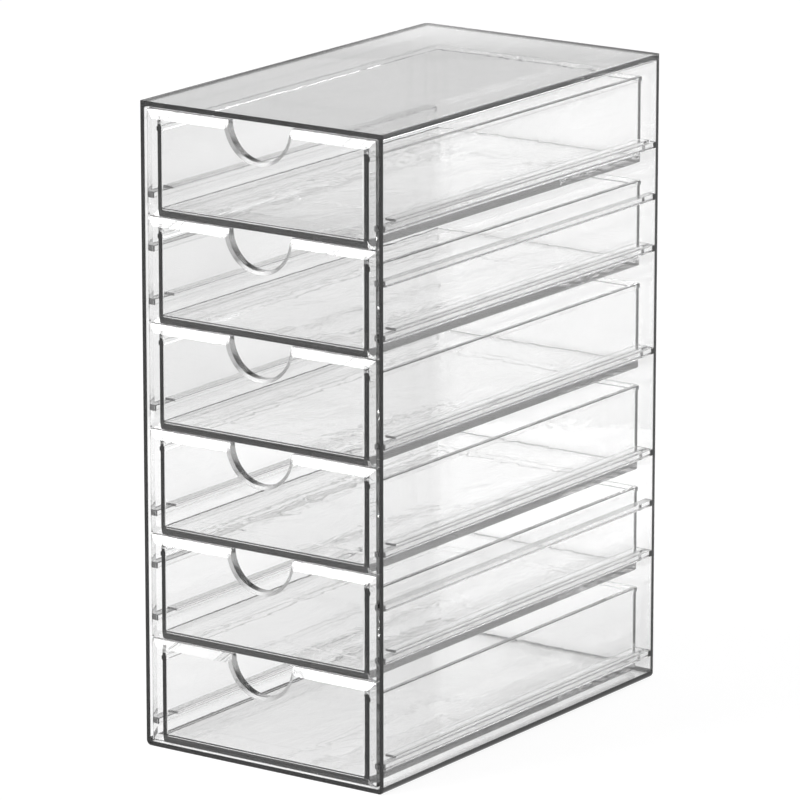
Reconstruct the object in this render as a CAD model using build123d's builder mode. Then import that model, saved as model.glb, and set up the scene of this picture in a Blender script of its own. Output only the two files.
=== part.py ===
from build123d import *
import os

# Clear desktop drawer organizer: a one-piece moulded case and a stack of alike drawers that slide in it.
# X runs across the front, Y from the front to the back, Z up from the surface it stands on.
# Lengths are in millimetres.

# Case
case_width = 160.0  # over the side walls
case_depth = 270.0  # front edge to back face
side_wall = 2.6
base_wall = 2.6
back_wall = 2.6
case_radius = 3.0  # lower edges and rear corners, outside
case_inner_radius = 1.5  # edges inside, all round
top_wall = 2.8

# Drawer stack
drawer_count = 6
drawer_pitch = 59.4  # from one drawer to the next
front_gap = 0.8  # between two drawer fronts
base_gap = 1.1  # lowest front over the base
top_gap = 1.0  # highest front under the top
side_gap = 1.9  # drawer front to each side wall

# Drawer front
front_thickness = 5.5
front_proud = 2.2  # flat face ahead of the case's front edges
bevel_width = 4.8  # mitred border, measured on the flat face
bevel_depth = 2.0
notch_radius = 20.5  # half-round finger notch
notch_bevel_width = 2.0
notch_bevel_depth = 0.8

# Drawer tray
tray_gap = 8.3  # tray wall to the case's side wall, where the runners lie
tray_back_gap = 2.4  # tray to the case's back wall
tray_wall = 2.2
tray_floor = 4.0
tray_lift = 0.2  # underside of the tray above the front's lower edge
tray_ease = 0.6  # chamfer along the lower edges, outside
tray_corner_radius = 2.0  # upright rear corners, outside
cavity_radius = 1.0  # upright corners, inside
floor_radius = 0.8  # where the floor meets the walls, inside
rim_drop = 9.2  # rim below the front's upper edge
rim_sweep = 6.0  # radius with which the rim sweeps up to the front
bead_width = 0.6  # bead standing out round the rim
bead_height = 2.8
bead_ease = 0.45  # chamfer along the outer edges of the bead

# Runners
rib_width = 5.4  # case rib, out from the side wall
rib_height = 3.4
rib_radius = 0.7  # free edges of the rib
rib_rise = 9.1  # underside of the rib above the lower edge of its drawer front
rib_stop_gap = 0.3  # closed drawer front to the front ends of the ribs
runner_gap = 1.5  # drawer runner to the side wall
runner_thickness = 1.4
runner_radius = 0.4  # free edges of the runner
runner_setback = 12.0  # front end of the runner behind the drawer front
runner_clearance = 0.2  # drawer runner over its rib
runner_lead = 0.8  # sloped rear end that finds the rib
spare_rib_drawers = (2, 5)  # drawers with a second, spare rib beside them, half a pitch higher

# Heights
front_height = drawer_pitch - front_gap
lowest_front = base_wall + base_gap
inner_top = lowest_front + drawer_count * drawer_pitch - front_gap + top_gap
case_height = inner_top + top_wall
tray_height = front_height - tray_lift - rim_drop

# Depths, with the whole organizer centred on Y
front_face = -(case_depth + front_proud) / 2
case_front = front_face + front_proud
case_back = case_front + case_depth
inner_back = case_back - back_wall
front_back = front_face + front_thickness
rib_front = front_back + rib_stop_gap
tray_back = inner_back - tray_back_gap

# Half widths
inner_half = case_width / 2 - side_wall
front_width = 2 * (inner_half - side_gap)
tray_half = inner_half - tray_gap
runner_half = inner_half - runner_gap

# Roots that carry the ribs into the walls and the runners into the tray
rib_root = side_wall / 2
runner_root = tray_wall / 2

os.makedirs("parts", exist_ok=True)


def drawer_level(number):
    """Height of the lower edge of a drawer front, counted from the top."""
    return lowest_front + (drawer_count - number) * drawer_pitch


def rib_levels():
    """Mid heights of the ribs: one for each drawer, and the spare ones."""
    mid = rib_rise + rib_height / 2
    used = [drawer_level(number) + mid for number in range(1, drawer_count + 1)]
    spare = [drawer_level(number) + mid + drawer_pitch / 2 for number in spare_rib_drawers]
    return used + spare


# Case: base, side walls, back and top in one moulding, open at the front
with BuildPart() as case_shell:
    with BuildSketch(Plane.XZ.offset(-case_back)):
        Rectangle(case_width, case_height, align=(Align.CENTER, Align.MIN))
    extrude(amount=case_depth)
    back_face = case_shell.faces().sort_by(Axis.Y)[-1]
    lower_edges = case_shell.edges().filter_by(Axis.Y).group_by(Axis.Z)[0]
    fillet(back_face.edges().sort_by(Axis.Z)[:-1] + lower_edges, case_radius)

    with BuildSketch(Plane.XZ.offset(-inner_back)):
        with Locations((0, base_wall)):
            Rectangle(2 * inner_half, inner_top - base_wall, align=(Align.CENTER, Align.MIN))
    extrude(amount=inner_back - case_front, mode=Mode.SUBTRACT)
    inner_middle = (0, inner_back, (base_wall + inner_top) / 2)
    inner_face = case_shell.faces().filter_by(Axis.Y).sort_by_distance(inner_middle)[0]
    floor_face = case_shell.faces().filter_by(Axis.Z).sort_by_distance((0, 0, base_wall))[0]
    ceiling_face = case_shell.faces().filter_by(Axis.Z).sort_by_distance((0, 0, inner_top))[0]
    long_edges = floor_face.edges().filter_by(Axis.Y) + ceiling_face.edges().filter_by(Axis.Y)
    fillet(inner_face.edges() + long_edges, case_inner_radius)

    # Runner ribs along both side walls, run into the back wall
    rib_x = inner_half + rib_root - (rib_width + rib_root) / 2
    rib_back = inner_back + back_wall / 2
    with BuildSketch(Plane.XZ.offset(-rib_back)):
        with Locations(*[(side * rib_x, level) for level in rib_levels() for side in (-1, 1)]):
            RectangleRounded(rib_width + rib_root, rib_height, rib_radius)
    extrude(amount=rib_back - rib_front)

case_shell.part.label = "case_shell"
export_step(case_shell.part, "parts/case_shell.step")


def build_drawer(bottom):
    """One drawer moulding, with the lower edge of its front at this height."""
    tray_bottom = bottom + tray_lift
    rim = tray_bottom + tray_height
    tray_length = tray_back - front_back
    with BuildPart() as drawer:
        # Thick front with a mitred bevel all round its flat face
        with BuildSketch(Plane.XZ.offset(-front_back)):
            with Locations((0, bottom)):
                Rectangle(front_width, front_height, align=(Align.CENTER, Align.MIN))
        extrude(amount=front_thickness)
        flat_face = drawer.faces().sort_by(Axis.Y)[0]
        chamfer(flat_face.edges(), length=bevel_width, length2=bevel_depth, reference=flat_face)

        # Tray block with eased lower edges and rounded rear corners
        with BuildSketch(Plane.XY.offset(tray_bottom)):
            with Locations((0, front_back)):
                Rectangle(2 * tray_half, tray_length, align=(Align.CENTER, Align.MIN))
        extrude(amount=tray_height)
        rear_corners = drawer.faces().sort_by(Axis.Y)[-1].edges().filter_by(Axis.Z)
        fillet(rear_corners, tray_corner_radius)
        underside = drawer.faces().filter_by(Axis.Z).sort_by_distance((0, 0, tray_bottom))[0]
        chamfer(underside.edges().sort_by(Axis.Y)[1:], tray_ease)

        # Bead round the rim, along the sides and the back
        with BuildSketch(Plane.XY.offset(rim - bead_height)) as rim_outline:
            with Locations((0, front_back)):
                Rectangle(2 * (tray_half + bead_width), tray_length + bead_width, align=(Align.CENTER, Align.MIN))
            fillet(rim_outline.vertices().group_by(Axis.Y)[-1], tray_corner_radius + bead_width)
        bead = extrude(amount=bead_height, mode=Mode.PRIVATE)
        bead_edges = bead.faces().filter_by(Axis.Z).edges()
        outer_edges = bead_edges.filter_by(lambda edge: edge.center().Y > front_back + bead_width)
        add(bead.chamfer(bead_ease, None, outer_edges))

        # Hollow of the tray, closed at the front by the drawer front
        with BuildSketch(Plane.XY.offset(rim)):
            with Locations((0, (front_back + tray_back - tray_wall) / 2)):
                RectangleRounded(2 * (tray_half - tray_wall), tray_length - tray_wall, cavity_radius)
        extrude(amount=tray_floor - tray_height, mode=Mode.SUBTRACT)
        floor = drawer.faces().filter_by(Axis.Z).sort_by_distance((0, 0, tray_bottom + tray_floor))[0]
        fillet(floor.edges(), floor_radius)

        # Swept-up ends of the rim, where the side walls meet the front
        with BuildSketch(Plane.YZ.offset(tray_half - tray_wall)):
            with BuildLine():
                corner = (front_back, rim)
                rim_end = (front_back + rim_sweep, rim)
                front_end = (front_back, rim + rim_sweep)
                Line(front_end, corner)
                Line(corner, rim_end)
                RadiusArc(rim_end, front_end, rim_sweep)
            make_face()
        sweep_up = extrude(amount=tray_wall)
        mirror(sweep_up, about=Plane.YZ)

        # Runner along each side, over the case's rib, with a sloped rear end
        runner_bottom = bottom + rib_rise + rib_height + runner_clearance
        runner_front = front_back + runner_setback
        runner_end = tray_back - tray_corner_radius
        with BuildSketch(Plane.YZ.offset(tray_half - runner_root)):
            with BuildLine():
                Polyline(
                    (runner_front, runner_bottom),
                    (runner_end - runner_lead, runner_bottom),
                    (runner_end, runner_bottom + runner_lead),
                    (runner_end, runner_bottom + runner_thickness),
                    (runner_front, runner_bottom + runner_thickness),
                    close=True,
                )
            make_face()
        runner = extrude(amount=runner_half - tray_half + runner_root, mode=Mode.PRIVATE)
        free_edges = runner.faces().sort_by(Axis.X)[-1].edges().filter_by(Axis.Y)
        runner = runner.fillet(runner_radius, free_edges)
        add(runner)
        add(mirror(runner, about=Plane.YZ, mode=Mode.PRIVATE))

        # Half-round finger notch with its own small bevel
        with BuildSketch(Plane.XZ.offset(-front_back)):
            with Locations((0, bottom + front_height)):
                Circle(notch_radius)
        extrude(amount=front_thickness, mode=Mode.SUBTRACT)
        with BuildSketch(Plane.XZ.offset(-front_face)):
            with Locations((0, bottom + front_height)):
                Circle(notch_radius + notch_bevel_width)
        with BuildSketch(Plane.XZ.offset(-front_face - notch_bevel_depth)):
            with Locations((0, bottom + front_height)):
                Circle(notch_radius)
        loft(mode=Mode.SUBTRACT)
    return drawer.part


for number in range(1, drawer_count + 1):
    drawer_part = build_drawer(drawer_level(number))
    drawer_part.label = f"drawer_{number}"
    export_step(drawer_part, f"parts/drawer_{number}.step")
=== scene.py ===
import math

import bpy
import numpy as np
from mathutils import Matrix, Vector


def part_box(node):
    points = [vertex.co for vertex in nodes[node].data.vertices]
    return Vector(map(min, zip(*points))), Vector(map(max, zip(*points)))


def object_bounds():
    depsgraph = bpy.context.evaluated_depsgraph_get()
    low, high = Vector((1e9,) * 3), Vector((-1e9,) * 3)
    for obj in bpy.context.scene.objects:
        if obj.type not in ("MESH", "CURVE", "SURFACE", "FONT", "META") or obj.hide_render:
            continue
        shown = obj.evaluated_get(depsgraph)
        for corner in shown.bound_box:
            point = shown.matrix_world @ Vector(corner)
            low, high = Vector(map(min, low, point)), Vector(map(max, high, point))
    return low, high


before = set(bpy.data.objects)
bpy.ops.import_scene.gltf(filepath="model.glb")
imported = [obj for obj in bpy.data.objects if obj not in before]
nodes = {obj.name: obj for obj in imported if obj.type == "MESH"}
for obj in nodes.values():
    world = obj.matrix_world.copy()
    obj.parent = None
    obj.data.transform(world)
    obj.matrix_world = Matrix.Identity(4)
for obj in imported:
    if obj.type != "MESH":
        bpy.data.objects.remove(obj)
cadLow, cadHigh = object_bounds()
drawerNames = sorted(name for name in nodes if name.startswith("drawer_"))
print("frame loaded:", len(nodes), "nodes")


# camera at the photo's angle, worked out from the corners of the case
cameraSettings = {
    "azimuth": 35.005,        # degrees round from the front, to the right
    "elevation": 14.323,
    "distance": 3.4762,       # metres from the middle of the case
    "aimRight": -0.00304,     # small offsets of the aim, in the picture's own directions
    "aimUp": -0.0016,
    "focal": 281.49,          # millimetres, on a sensor of this width
    "sensor": 36.0,
    "sight": 50.0,            # metres it sees
}


def makeCamera(settings):
    caseLow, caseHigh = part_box("case_shell")
    middle = (caseLow + caseHigh) / 2
    azimuth, elevation = math.radians(settings["azimuth"]), math.radians(settings["elevation"])
    back = Vector((math.sin(azimuth) * math.cos(elevation), -math.cos(azimuth) * math.cos(elevation),
                   math.sin(elevation)))
    right = Vector((math.cos(azimuth), math.sin(azimuth), 0))
    up = back.cross(right)
    data = bpy.data.cameras.new("photoCamera")
    data.sensor_width = settings["sensor"]
    data.lens = settings["focal"]
    data.clip_end = settings["sight"]
    camera = bpy.data.objects.new("photoCamera", data)
    place = middle + right * settings["aimRight"] + up * settings["aimUp"] + back * settings["distance"]
    camera.matrix_world = Matrix.Translation(place) @ back.to_track_quat("Z", "Y").to_matrix().to_4x4()
    bpy.context.scene.collection.objects.link(camera)
    bpy.context.scene.camera = camera


makeCamera(cameraSettings)
print("camera placed")


# small helpers for shader trees: an input takes a number, a colour or another node's socket
white = (1, 1, 1, 1)


def grey(level):
    return (level, level, level, 1)


def plug(tree, socket, value):
    if isinstance(value, bpy.types.NodeSocket):
        tree.links.new(value, socket)
    else:
        socket.default_value = value


def objectPlace(tree):
    return tree.nodes.new("ShaderNodeTexCoord").outputs["Object"]


def addMath(tree, operation, *values):
    node = tree.nodes.new("ShaderNodeMath")
    node.operation = operation
    for socket, value in zip(node.inputs, values):
        plug(tree, socket, value)
    return node.outputs[0]


def addVectorMath(tree, operation, *values):
    node = tree.nodes.new("ShaderNodeVectorMath")
    node.operation = operation
    for socket, value in zip(node.inputs, values):
        plug(tree, socket, value)
    return node.outputs["Value" if operation in ("LENGTH", "DISTANCE") else "Vector"]


def addRange(tree, value, fromSpan, toSpan=(0.0, 1.0), smooth=False):
    node = tree.nodes.new("ShaderNodeMapRange")
    if smooth:
        node.interpolation_type = "SMOOTHSTEP"
    names = ("Value", "From Min", "From Max", "To Min", "To Max")
    for name, given in zip(names, (value, *fromSpan, *toSpan)):
        plug(tree, node.inputs[name], given)
    return node.outputs["Result"]


def addRamp(tree, value, stops, interpolation="LINEAR"):
    node = tree.nodes.new("ShaderNodeValToRGB")
    node.color_ramp.interpolation = interpolation
    elements = node.color_ramp.elements
    while len(elements) < len(stops):
        elements.new(1.0)
    for element, (position, colour) in zip(elements, stops):
        element.position = position
        element.color = colour
    plug(tree, node.inputs["Fac"], value)
    return node.outputs["Color"]


def addNoise(tree, place, scale, detail, distortion=0.0):
    node = tree.nodes.new("ShaderNodeTexNoise")
    names = ("Vector", "Scale", "Detail", "Distortion")
    for name, given in zip(names, (place, scale, detail, distortion)):
        plug(tree, node.inputs[name], given)
    return node.outputs["Fac"]


def splitXyz(tree, vector):
    node = tree.nodes.new("ShaderNodeSeparateXYZ")
    plug(tree, node.inputs[0], vector)
    return node.outputs


def mixValues(tree, share, first, second):
    node = tree.nodes.new("ShaderNodeMix")
    for index, value in ((0, share), (2, first), (3, second)):
        plug(tree, node.inputs[index], value)
    return node.outputs[0]


def mixColours(tree, share, first, second):
    node = tree.nodes.new("ShaderNodeMix")
    node.data_type = "RGBA"
    for index, value in ((0, share), (6, first), (7, second)):
        plug(tree, node.inputs[index], value)
    return node.outputs[2]


def startGroup(name, inputs, outputs):
    group = bpy.data.node_groups.new(name, "ShaderNodeTree")
    for label, kind in inputs.items():
        group.interface.new_socket(label, in_out="INPUT", socket_type="NodeSocket" + kind)
    for label in outputs:
        group.interface.new_socket(label, in_out="OUTPUT", socket_type="NodeSocketFloat")
    given = group.nodes.new("NodeGroupInput").outputs
    result = group.nodes.new("NodeGroupOutput").inputs
    return group, given, result


def addGroup(tree, group, values):
    node = tree.nodes.new("ShaderNodeGroup")
    node.node_tree = group
    for label, value in values.items():
        plug(tree, node.inputs[label], value)
    return node.outputs


# studio: white for the lens, white paper on the floor, a low white wall behind and a dim ceiling for what the
# plastic mirrors, and three soft lamps
studioSettings = {
    "sky": [                  # sine of the elevation, and the tone there
        (0.0, (1.0, 1.0, 1.0, 1)),
        (0.06, (0.54, 0.54, 0.54, 1)),
        (0.27, (0.49, 0.49, 0.49, 1)),
        (0.60, (0.16, 0.16, 0.165, 1)),
    ],
    "floorSize": 12.0,
    "floorDrop": 0.0005,
    "floorPaint": 0.25,
    "paperWhite": 0.90,       # as the lens sees it, before the light that falls on it
    "paperCorner": (-0.075, -0.14, 0.0),    # the paper's tones spread out round this point
    "paperTurn": [            # degrees right of straight back, and the tone the plastic shows there
        (-180.0, 1.0),
        (-115.0, 0.96),
        (-85.0, 0.82),
        (-46.0, 0.82),
        (-38.0, 1.0),
        (-24.0, 1.0),
        (40.0, 0.95),
        (180.0, 1.0),
    ],
    "paperPaintedShade": 0.78,       # share of the tone that is left in the painted shade behind the object
    "shadeMiddle": (0.03, 0.20, 0.0),
    "shadeReach": (0.10, 0.32),
    "cloudScale": 7.0,        # faint clouds in the paper's tone, to the metre
    "cloudDetail": 2.0,
    "cloudDistortion": 1.0,
    "cloudFrom": (0.3, 0.7),  # span of the noise that is spread over the tones
    "cloudTone": (0.91, 1.0),
    "sweepRadius": 0.65,      # low white wall that stands round the back
    "sweepTurn": (-75.0, 75.0),
    "sweepSteps": 61,
    "sweepTop": (0.456, 0.482),             # heights between which its white fades to grey
    "sweepGrey": 0.42,
}
lampSettings = {
    "frontLamp": {"towards": (-0.515, -0.746, 0.423), "distance": 6.0, "size": (3.9, 1.3), "power": 195.0},
    "fillLamp": {"towards": (-0.545, -0.790, 0.281), "distance": 6.0, "size": (3.9, 1.2), "power": 51.0},
    "rearLamp": {"towards": (0.25, 0.75, 0.80), "distance": 2.2, "size": (1.6, 0.6), "power": 12.0},
}


def makeWorld(settings):
    world = bpy.data.worlds.new("studio")
    world.use_nodes = True
    tree = world.node_tree
    tree.nodes.clear()
    direction = tree.nodes.new("ShaderNodeTexCoord").outputs["Generated"]
    tone = addRamp(tree, splitXyz(tree, direction)["Z"], settings["sky"])
    lens = tree.nodes.new("ShaderNodeLightPath").outputs["Is Camera Ray"]
    background = tree.nodes.new("ShaderNodeBackground")
    out = tree.nodes.new("ShaderNodeOutputWorld")
    plug(tree, background.inputs["Color"], mixColours(tree, lens, tone, white))
    plug(tree, out.inputs["Surface"], background.outputs[0])
    bpy.context.scene.world = world


# white paper: its glow goes by the direction from one point, falls off in a painted shade behind the object,
# and has faint clouds in it
def addPaperTone(tree, place, settings):
    spot = splitXyz(tree, addVectorMath(tree, "SUBTRACT", place, settings["paperCorner"]))
    turn = addMath(tree, "ARCTAN2", spot["X"], spot["Y"])
    fullTurn = addMath(tree, "MULTIPLY_ADD", turn, 0.5 / math.pi, 0.5)
    stops = [(degrees / 360 + 0.5, grey(level)) for degrees, level in settings["paperTurn"]]
    glow = addRamp(tree, fullTurn, stops, "EASE")
    reach = addVectorMath(tree, "DISTANCE", place, settings["shadeMiddle"])
    shade = addRange(tree, reach, settings["shadeReach"], (settings["paperPaintedShade"], 1.0))
    clouds = addNoise(tree, place, settings["cloudScale"], settings["cloudDetail"],
                      settings["cloudDistortion"])
    spread = addRange(tree, clouds, settings["cloudFrom"], settings["cloudTone"])
    shaded = addMath(tree, "MULTIPLY", glow, shade)
    return addMath(tree, "MULTIPLY", shaded, spread)


def newStage(name, points, faces):
    mesh = bpy.data.meshes.new(name)
    mesh.from_pydata(points, [], faces)
    stage = bpy.data.objects.new(name, mesh)
    bpy.context.scene.collection.objects.link(stage)
    material = bpy.data.materials.new(name + "Paper")
    material.use_nodes = True
    material.node_tree.nodes.clear()
    mesh.materials.append(material)
    return stage, material.node_tree


def makeFloor(settings):
    half, drop = settings["floorSize"] / 2, -settings["floorDrop"]
    corners = [(-half, -half, drop), (half, -half, drop), (half, half, drop), (-half, half, drop)]
    tree = newStage("studioFloor", corners, [(0, 1, 2, 3)])[1]
    tone = addPaperTone(tree, objectPlace(tree), settings)
    lens = tree.nodes.new("ShaderNodeLightPath").outputs["Is Camera Ray"]
    paper = tree.nodes.new("ShaderNodeBsdfDiffuse")
    glow = tree.nodes.new("ShaderNodeEmission")
    both = tree.nodes.new("ShaderNodeAddShader")
    out = tree.nodes.new("ShaderNodeOutputMaterial")
    plug(tree, paper.inputs["Color"], grey(settings["floorPaint"]))
    plug(tree, glow.inputs["Strength"], mixValues(tree, lens, tone, settings["paperWhite"]))
    plug(tree, both.inputs[0], paper.outputs[0])
    plug(tree, both.inputs[1], glow.outputs[0])
    plug(tree, out.inputs["Surface"], both.outputs[0])


# upright wall: a circle's arc carried straight up
def makeSweep(settings):
    turn = np.radians(np.linspace(*settings["sweepTurn"], settings["sweepSteps"]))
    ring = np.stack([np.sin(turn), np.cos(turn)], axis=1) * settings["sweepRadius"]
    low = np.column_stack([ring, np.zeros(len(turn))])
    high = low + (0, 0, settings["sweepTop"][1])
    first = np.arange(len(turn) - 1)
    faces = np.column_stack([first, first + 1, first + 1 + len(turn), first + len(turn)])
    sweep, tree = newStage("studioSweep", np.concatenate([low, high]).tolist(), faces.tolist())
    place = objectPlace(tree)
    tone = addPaperTone(tree, place, settings)
    fade = addRange(tree, splitXyz(tree, place)["Z"], settings["sweepTop"], smooth=True)
    glow = tree.nodes.new("ShaderNodeEmission")
    out = tree.nodes.new("ShaderNodeOutputMaterial")
    plug(tree, glow.inputs["Strength"], mixValues(tree, fade, tone, settings["sweepGrey"]))
    plug(tree, out.inputs["Surface"], glow.outputs[0])
    sweep.visible_camera = False
    sweep.visible_diffuse = False
    sweep.visible_shadow = False


def makeLamp(name, settings):
    data = bpy.data.lights.new(name, "AREA")
    data.shape = "RECTANGLE"
    data.size, data.size_y = settings["size"]
    data.energy = settings["power"]
    lamp = bpy.data.objects.new(name, data)
    towards = Vector(settings["towards"]).normalized()
    middle = (cadLow + cadHigh) / 2
    lamp.matrix_world = (Matrix.Translation(middle + towards * settings["distance"])
                         @ towards.to_track_quat("Z", "Y").to_matrix().to_4x4())
    lamp.visible_camera = False
    bpy.context.scene.collection.objects.link(lamp)


makeWorld(studioSettings)
makeFloor(studioSettings)
makeSweep(studioSettings)
for name, settings in lampSettings.items():
    makeLamp(name, settings)
print("studio made")


# slow waves that the flow of the plastic leaves in a moulding: two noises, both drawn out along the flow, the
# fine one added with its own share
waveSettings = {
    "broad": (1.0, 0.6),      # detail and distortion of each noise
    "fine": (2.0, 1.2),
}


def makeFlowWaves(settings):
    inputs = {"Place": "Vector", "Draw Out": "Vector", "Broad Scale": "Float", "Fine Scale": "Float",
              "Fine Share": "Float"}
    group, given, result = startGroup("flowWaves", inputs, ["Height"])
    drawn = addVectorMath(group, "MULTIPLY", given["Place"], given["Draw Out"])
    broad = addNoise(group, drawn, given["Broad Scale"], *settings["broad"])
    fine = addNoise(group, drawn, given["Fine Scale"], *settings["fine"])
    plug(group, result["Height"], addMath(group, "MULTIPLY_ADD", fine, given["Fine Share"], broad))
    return group


# faint clouded patches where the polish is a little less sharp
polishSettings = {
    "detail": 4.0,
    "cloudFrom": (0.55, 0.80),  # span of the noise over which it turns clouded
}


def makePolish(settings):
    inputs = {"Place": "Vector", "Scale": "Float", "Clear": "Float", "Clouded": "Float"}
    group, given, result = startGroup("polish", inputs, ["Roughness"])
    cloud = addNoise(group, given["Place"], given["Scale"], settings["detail"])
    spread = addRange(group, cloud, settings["cloudFrom"], (given["Clear"], given["Clouded"]))
    plug(group, result["Roughness"], spread)
    return group


# the round face of each finger notch and the bevel before it: points at the notch's radius from its middle,
# in the drawer front only, and points a little further out near the flat face; the drawers repeat at one
# pitch, so heights are wrapped to the topmost one
def makeNotchFace():
    inputs = {"Place": "Vector", "Middle": "Vector", "Pitch": "Float", "Radius": "Float", "Slack": "Float",
              "Ring": "Float", "Ring Back": "Float"}
    group, given, result = startGroup("notchFace", inputs, ["Mask", "Bevel"])
    spot = splitXyz(group, addVectorMath(group, "SUBTRACT", given["Place"], given["Middle"]))
    lowest = addMath(group, "SUBTRACT", given["Slack"], given["Pitch"])
    across = group.nodes.new("ShaderNodeCombineXYZ")
    plug(group, across.inputs["X"], spot["X"])
    plug(group, across.inputs["Y"], addMath(group, "WRAP", spot["Z"], given["Slack"], lowest))
    reach = addVectorMath(group, "LENGTH", across.outputs[0])
    ring = addMath(group, "COMPARE", reach, given["Radius"], given["Slack"])
    front = addMath(group, "LESS_THAN", spot["Y"], 0.0)
    face = addMath(group, "MULTIPLY", ring, front)
    near = addMath(group, "LESS_THAN", reach, given["Ring"])
    ahead = addMath(group, "LESS_THAN", spot["Y"], given["Ring Back"])
    bevel = addMath(group, "MULTIPLY", near, ahead)
    plug(group, result["Mask"], addMath(group, "MAXIMUM", face, bevel))
    plug(group, result["Bevel"], bevel)
    return group


flowWaves = makeFlowWaves(waveSettings)
polish = makePolish(polishSettings)
notchFace = makeNotchFace()


# clear plastic of the case and the drawers; a finish, with painted shade, adds what only one of them has
plasticSettings = {
    "ior": 1.57,
    "clear": 0.0,             # roughness where the polish is sharp
    "edgeSamples": 2,
    "soakColour": (0, 0, 0, 1),
}


def makePlastic(name, settings, addFinishAndShade):
    material = bpy.data.materials.new(name)
    material.use_nodes = True
    tree = material.node_tree
    shader, out = tree.nodes["Principled BSDF"], tree.nodes["Material Output"]
    shader.inputs["Base Color"].default_value = white
    shader.inputs["IOR"].default_value = plasticSettings["ior"]
    shader.inputs["Transmission Weight"].default_value = 1
    place = objectPlace(tree)
    waves = addGroup(tree, flowWaves, {
        "Place": place,
        "Draw Out": settings["drawOut"],
        "Broad Scale": settings["broad"],
        "Fine Scale": settings["fine"],
        "Fine Share": settings["fineShare"],
    })["Height"]
    gloss = addGroup(tree, polish, {
        "Place": place,
        "Scale": settings["cloudScale"],
        "Clear": plasticSettings["clear"],
        "Clouded": settings["clouded"],
    })["Roughness"]
    waves, gloss, colour = addFinishAndShade(tree, settings, place, waves, gloss)
    eased = tree.nodes.new("ShaderNodeBevel")
    eased.samples = plasticSettings["edgeSamples"]
    eased.inputs["Radius"].default_value = settings["edgeEase"]
    bump = tree.nodes.new("ShaderNodeBump")
    bump.inputs["Distance"].default_value = settings["waveHeight"]
    soak = tree.nodes.new("ShaderNodeVolumeAbsorption")
    soak.inputs["Color"].default_value = plasticSettings["soakColour"]
    soak.inputs["Density"].default_value = settings["soak"]
    plug(tree, bump.inputs["Normal"], eased.outputs[0])
    plug(tree, bump.inputs["Height"], waves)
    plug(tree, shader.inputs["Normal"], bump.outputs["Normal"])
    plug(tree, shader.inputs["Roughness"], gloss)
    plug(tree, shader.inputs["Base Color"], colour)
    plug(tree, out.inputs["Volume"], soak.outputs[0])
    return material


casePlastic = {
    "soak": 13.0,             # light lost on the way through the plastic, for each metre
    "drawOut": (1.0, 0.45, 1.0),
    "broad": 9.0,             # waves to the metre
    "fine": 34.0,
    "fineShare": 0.25,
    "waveHeight": 0.00012,
    "clouded": 0.03,          # roughness in the clouded patches
    "cloudScale": 30.0,
    "edgeEase": 0.0002,       # radius with which every edge is eased
    "footHeight": 0.0044,     # the rounded lower edges, which gather their light from inside the base
    "footWidth": 0.0024,
    "footPaintedShade": 0.003,
    "ribReach": (0.0715, 0.0772),           # from the middle, where the ribs lie
    "ribEnds": 0.005,         # left out under the top and over the base
    "ribRoughness": 0.15,
    "ribTopPaintedShade": 0.78,
    "ribEndPaintedShade": 0.06,
    "facing": 0.7,            # how squarely a face has to look up or forwards
}


# painted shade as a dark line round the foot: low points that lie near the outside of the case; the ribs'
# upper faces, rubbed matt by the runners and painted a little grey as shade, and their front ends, painted
# dark as
# shade: points at the ribs' reach from the middle that face up or forwards
def finishAndShadeCase(tree, settings, place, waves, gloss):
    low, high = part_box("case_shell")
    middle, half = (low + high) / 2, (high - low) / 2
    spot = splitXyz(tree, place)
    across = addMath(tree, "ABSOLUTE", spot["X"])
    outside = addMath(tree, "GREATER_THAN", across, half.x - settings["footWidth"])
    behind = addMath(tree, "GREATER_THAN", spot["Y"], high.y - settings["footWidth"])
    edge = addMath(tree, "MAXIMUM", outside, behind)
    under = addMath(tree, "LESS_THAN", spot["Z"], low.z + settings["footHeight"])
    footShadeMask = addMath(tree, "MULTIPLY", edge, under)
    # painted shade: the foot's edges are tinted almost black
    colour = mixColours(tree, footShadeMask, white, grey(settings["footPaintedShade"]))
    normal = splitXyz(tree, tree.nodes.new("ShaderNodeNewGeometry").outputs["Normal"])
    nearest, farthest = settings["ribReach"]
    level = addMath(tree, "COMPARE", spot["Z"], middle.z, half.z - settings["ribEnds"])
    reach = addMath(tree, "COMPARE", across, (nearest + farthest) / 2, (farthest - nearest) / 2)
    rib = addMath(tree, "MULTIPLY", level, reach)
    up = addMath(tree, "GREATER_THAN", normal["Z"], settings["facing"])
    mattShadedRibTops = addMath(tree, "MULTIPLY", rib, up)
    gloss = mixValues(tree, mattShadedRibTops, gloss, settings["ribRoughness"])
    # painted shade: the rib tops are tinted grey as well as made matt
    colour = mixColours(tree, mattShadedRibTops, colour, grey(settings["ribTopPaintedShade"]))
    forwards = addMath(tree, "LESS_THAN", normal["Y"], -settings["facing"])
    ahead = addMath(tree, "LESS_THAN", spot["Y"], 0.0)
    frontal = addMath(tree, "MULTIPLY", forwards, ahead)
    shadedRibEnds = addMath(tree, "MULTIPLY", rib, frontal)
    # painted shade: the ribs' front ends are tinted dark
    colour = mixColours(tree, shadedRibEnds, colour, grey(settings["ribEndPaintedShade"]))
    return waves, gloss, colour


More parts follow.
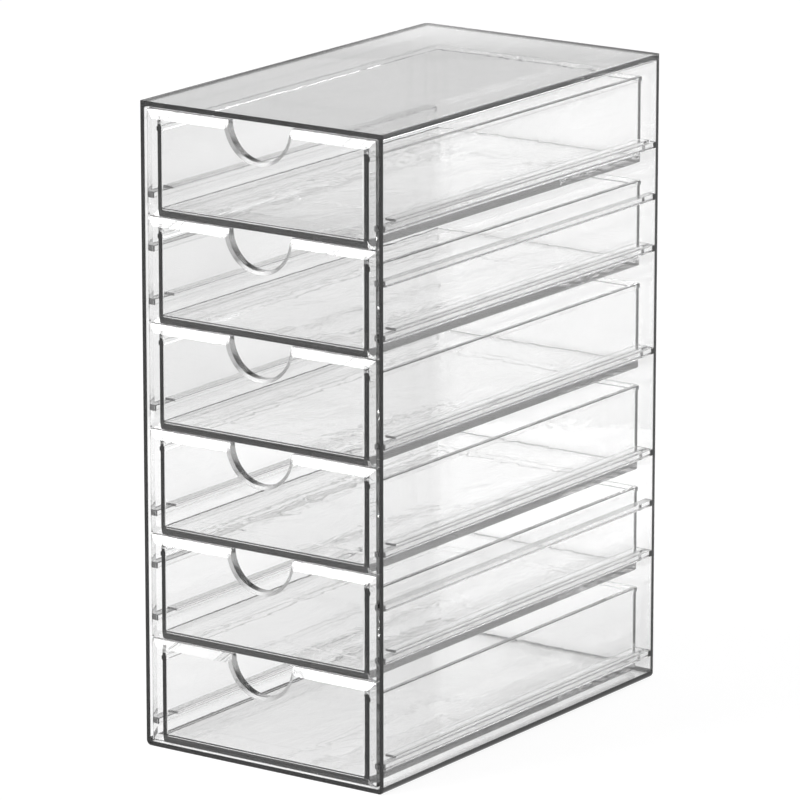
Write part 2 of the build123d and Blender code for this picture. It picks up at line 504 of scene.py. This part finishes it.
drawerPlastic = {
    "soak": 11.0,
    "drawOut": (1.0, 0.5, 1.0),
    "broad": 14.0,
    "fine": 45.0,
    "fineShare": 0.30,
    "waveHeight": 0.00030,
    "clouded": 0.04,
    "cloudScale": 36.0,
    "edgeEase": 0.00025,
    "frontThickness": 0.0056,
    "frontCalm": 0.25,        # share of the waves that shows in the front
    "calmFade": 0.02,
    "notchRadius": 0.0205,
    "notchSlack": 0.0003,
    "notchRing": 0.0021,      # how far its bevel reaches outwards, and how deep
    "notchRingDepth": 0.0009,
    "notchRoughness": 0.24,
    "notchBevelPaintedShade": 0.45,
}


# the notch's face is moulded matt and its bevel carries a painted grey shade; the fronts are flatter than the
# trays, so the waves fade out towards them
def finishAndShadeDrawer(tree, settings, place, waves, gloss):
    low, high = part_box(drawerNames[0])
    frontBack = low.y + settings["frontThickness"]
    notch = addGroup(tree, notchFace, {
        "Place": place,
        "Middle": ((low.x + high.x) / 2, frontBack, high.z),
        "Pitch": high.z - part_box(drawerNames[1])[1].z,
        "Radius": settings["notchRadius"],
        "Slack": settings["notchSlack"],
        "Ring": settings["notchRadius"] + settings["notchRing"],
        "Ring Back": settings["notchRingDepth"] - settings["frontThickness"],
    })
    gloss = mixValues(tree, notch["Mask"], gloss, settings["notchRoughness"])
    # painted shade: the notch's bevel is tinted grey
    colour = mixColours(tree, notch["Bevel"], white, grey(settings["notchBevelPaintedShade"]))
    fadeSpan = (frontBack, frontBack + settings["calmFade"])
    calm = addRange(tree, splitXyz(tree, place)["Y"], fadeSpan, (settings["frontCalm"], 1.0))
    return addMath(tree, "MULTIPLY", waves, calm), gloss, colour


def dress(name, material):
    node = nodes[name]
    node.data.materials.clear()
    node.data.materials.append(material)


dress("case_shell", makePlastic("clearCase", casePlastic, finishAndShadeCase))
clearDrawer = makePlastic("clearDrawer", drawerPlastic, finishAndShadeDrawer)
for name in drawerNames:
    dress(name, clearDrawer)
print("materials assigned")

# light that runs along inside a wall is lost after a few turns, which leaves the edges dark
pathSettings = {"all": 32, "through": 24, "mirrored": 18}
scene = bpy.context.scene
scene.view_settings.view_transform = "Standard"
scene.cycles.max_bounces = pathSettings["all"]
scene.cycles.transmission_bounces = pathSettings["through"]
scene.cycles.glossy_bounces = pathSettings["mirrored"]
